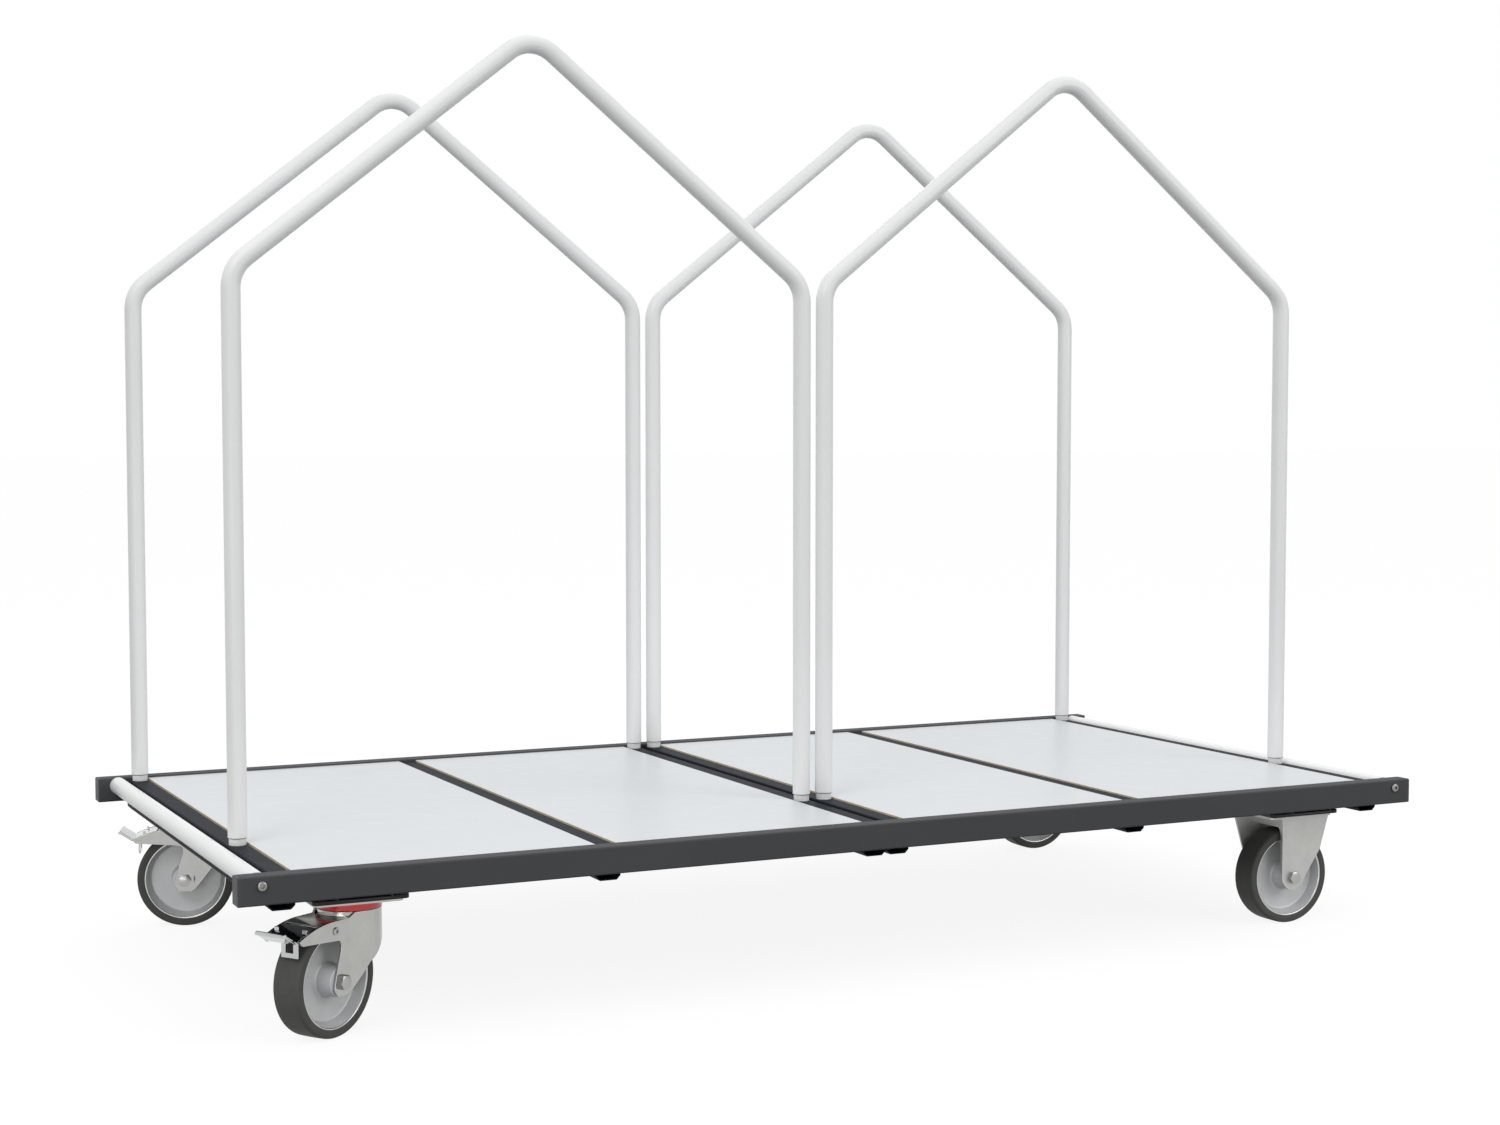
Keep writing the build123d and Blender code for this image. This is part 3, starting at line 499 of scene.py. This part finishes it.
# Dark rings between the hoop tubes and the narrower feet, painted shadow of the gap where each tube ends on its
# foot
SHADOW_RING_OUTLINE = [
    (-SHADOW_RING_HEIGHT, SHADOW_RING_INNER),
    (-SHADOW_RING_HEIGHT, SHADOW_RING_OUTER),
    (0.0, SHADOW_RING_OUTER),
    (0.0, SHADOW_RING_INNER),
]
for corner in CASTERS:
    low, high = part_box(f"{corner}_hoop")
    for end, x in {"left": low.x + HOOP_RADIUS, "right": high.x - HOOP_RADIUS}.items():
        place = Matrix.Translation((x, (low.y + high.y) / 2, low.z))
        ring = turned([Vector(point) for point in SHADOW_RING_OUTLINE])
        ring_name = f"{corner}_{end}_painted_shadow_ring"
        add_piece(ring_name, ring, (cap_plastic,), place, f"{corner}_side")


# Fasteners
def hex_reach(angle, across):
    """How far a hexagon of this size across its flats reaches at an angle."""
    return across / 2 / cos(angle % (pi / 3) - pi / 6)


def ring_stack(work, rings, place=Matrix.Identity(4)):
    """A closed solid through rings, each given by its (radius, height) at an angle."""
    made = []
    for ring in rings:
        spots = []
        for angle in around(FASTENER_STEPS):
            radius, height = ring(angle)
            spot = Vector((radius * cos(angle), radius * sin(angle), height))
            spots.append(work.verts.new(place @ spot))
        made.append(spots)
    for low, high in zip(made, made[1:]):
        bridge(work, low, high)
    work.faces.new(made[0][::-1])
    work.faces.new(made[-1])


def circle(radius, height):
    return lambda angle: (radius, height)


def hexagon(across, height):
    return lambda angle: (hex_reach(angle, across), height)


def hex_shoulder(across, height, up):
    """The edge where a hexagon meets the cone that bevels its corners."""

    def ring(angle):
        reach = hex_reach(angle, across)
        return reach, height - up * (reach - across * HEX_FACE_SHARE) * tan(HEX_CHAMFER)

    return ring


def axle_bolt(work):
    top = CHEEK_OUT + HEAD_HEIGHT
    ring_stack(work, [
        hexagon(HEAD_ACROSS, CHEEK_OUT),
        hex_shoulder(HEAD_ACROSS, top, 1),
        circle(HEAD_ACROSS * HEX_FACE_SHARE, top),
    ])
    end = -CHEEK_OUT - NUT_HEIGHT - TIP_LENGTH
    ring_stack(work, [
        circle(TIP_END_RADIUS, end),
        circle(AXLE_RADIUS, end + TIP_END_HEIGHT),
        circle(AXLE_RADIUS, CHEEK_OUT),
    ])


def axle_nut(work):
    base = -CHEEK_OUT
    shoulder = base - NUT_HEIGHT + COLLAR_HEIGHT
    end = base - NUT_HEIGHT
    ring_stack(work, [
        circle(COLLAR_END_RADIUS, end),
        circle(COLLAR_RADIUS, end + COLLAR_END_HEIGHT),
        circle(COLLAR_RADIUS, shoulder),
        circle(HEAD_ACROSS * HEX_FACE_SHARE, shoulder),
        hex_shoulder(HEAD_ACROSS, shoulder, -1),
        hexagon(HEAD_ACROSS, base),
    ])


def pedal_pin(work, hand, pivot):
    """A round-headed pin with a hexagon socket, on one side of the fork."""
    face = CHEEK_OUT + PIN_HEAD_HEIGHT
    turn = Matrix.Identity(4) if hand > 0 else Matrix.Rotation(pi, 4, "X")
    ring_stack(work, [
        circle(PIN_SHANK_RADIUS, CHEEK_OUT - PIN_REACH),
        circle(PIN_SHANK_RADIUS, CHEEK_OUT),
        circle(PIN_HEAD_RADIUS, CHEEK_OUT),
        circle(PIN_HEAD_RADIUS, face - PIN_FACE_HEIGHT),
        circle(PIN_FACE_RADIUS, face),
        hexagon(PIN_SOCKET_ACROSS, face),
        hexagon(PIN_SOCKET_ACROSS, face - PIN_SOCKET_DEPTH),
    ], pivot @ turn)


for caster in CASTERS:
    axle = joint_place(f"{caster}_wheel_spin")
    bolts = bmesh.new()
    axle_bolt(bolts)
    axle_nut(bolts)
    holder = "chassis"
    if caster in LEFT_CASTERS:
        holder = f"{caster}_swivel"
        pivot = axle.inverted() @ joint_place(f"{caster}_brake_press")
        for hand in (1, -1):
            pedal_pin(bolts, hand, pivot)
    replaced_bolts = f"{caster}_fork_bolts"
    add_piece(f"{caster}_bolts", bolts, (bright_zinc,), axle, holder, replaced_bolts)


# Floor, sky and lamps
def seen_directly(tree):
    """1 for rays from the camera or from a glossy surface, else 0."""
    path = node(tree, "ShaderNodeLightPath")
    either = node(tree, "ShaderNodeMath", operation="MAXIMUM")
    tree.links.new(path.outputs["Is Camera Ray"], either.inputs[0])
    tree.links.new(path.outputs["Is Glossy Ray"], either.inputs[1])
    return either.outputs["Value"]


def sky_light(tree):
    """The sky's level as light on the object, dimmer towards the horizon."""
    place = node(tree, "ShaderNodeTexCoord")
    parts = node(tree, "ShaderNodeSeparateXYZ")
    tree.links.new(place.outputs["Generated"], parts.inputs["Vector"])
    return between(tree, parts.outputs["Z"], SKY_AT_HORIZON, SKY_OVERHEAD)


floor_mesh = bpy.data.meshes.new("floor")
floor_signs = ((-1, -1), (1, -1), (1, 1), (-1, 1))
floor_corners = [(x * FLOOR_REACH, y * FLOOR_REACH, 0) for x, y in floor_signs]
floor_mesh.from_pydata(floor_corners, [], [(0, 1, 2, 3)])
floor = bpy.data.objects.new("floor", floor_mesh)
bpy.context.scene.collection.objects.link(floor)
floor_material, floor_tree, floor_shader = new_material("floor")
floor_shader.inputs["Base Color"].default_value = (FLOOR_ALBEDO, FLOOR_ALBEDO, FLOOR_ALBEDO, 1)
floor_shader.inputs["Roughness"].default_value = FLOOR_ROUGHNESS
floor_shader.inputs["Specular IOR Level"].default_value = 0.0
floor_shader.inputs["Emission Color"].default_value = WHITE
floor_glow = between(floor_tree, seen_directly(floor_tree), 0.0, FLOOR_GLOW)
floor_tree.links.new(floor_glow, floor_shader.inputs["Emission Strength"])
floor_material.cycles.emission_sampling = "NONE"
floor_mesh.materials.append(floor_material)

world = bpy.data.worlds.new("studio")
bpy.context.scene.world = world
world.use_nodes = True
sky_tree = world.node_tree
sky = sky_tree.nodes["Background"]
sky.inputs["Color"].default_value = WHITE
sky_level = node(sky_tree, "ShaderNodeMapRange", {"To Max": SKY_SEEN})
sky_tree.links.new(seen_directly(sky_tree), sky_level.inputs["Value"])
sky_tree.links.new(sky_light(sky_tree), sky_level.inputs["To Min"])
sky_tree.links.new(sky_level.outputs["Result"], sky.inputs["Strength"])


def lamp(name, place, target, size, power):
    light = bpy.data.lights.new(name, "AREA")
    light.shape = "RECTANGLE"
    light.size, light.size_y = size
    light.energy = power
    made = bpy.data.objects.new(name, light)
    made.location = place
    made.rotation_euler = (Vector(target) - Vector(place)).to_track_quat("-Z", "Y").to_euler()
    bpy.context.scene.collection.objects.link(made)


for name, settings in LAMPS.items():
    lamp(name, **settings)

# Camera
camera_data = bpy.data.cameras.new("camera")
camera_data.sensor_width = CAMERA_SENSOR
camera_data.lens = CAMERA_LENS
camera_data.clip_end = CAMERA_REACH
camera = bpy.data.objects.new("camera", camera_data)
camera.location = CAMERA_PLACE
camera.rotation_euler = (radians(90 - CAMERA_DROP), 0, radians(-CAMERA_AZIMUTH))
bpy.context.scene.collection.objects.link(camera)
bpy.context.scene.camera = camera
bpy.context.scene.view_settings.view_transform = "Standard"
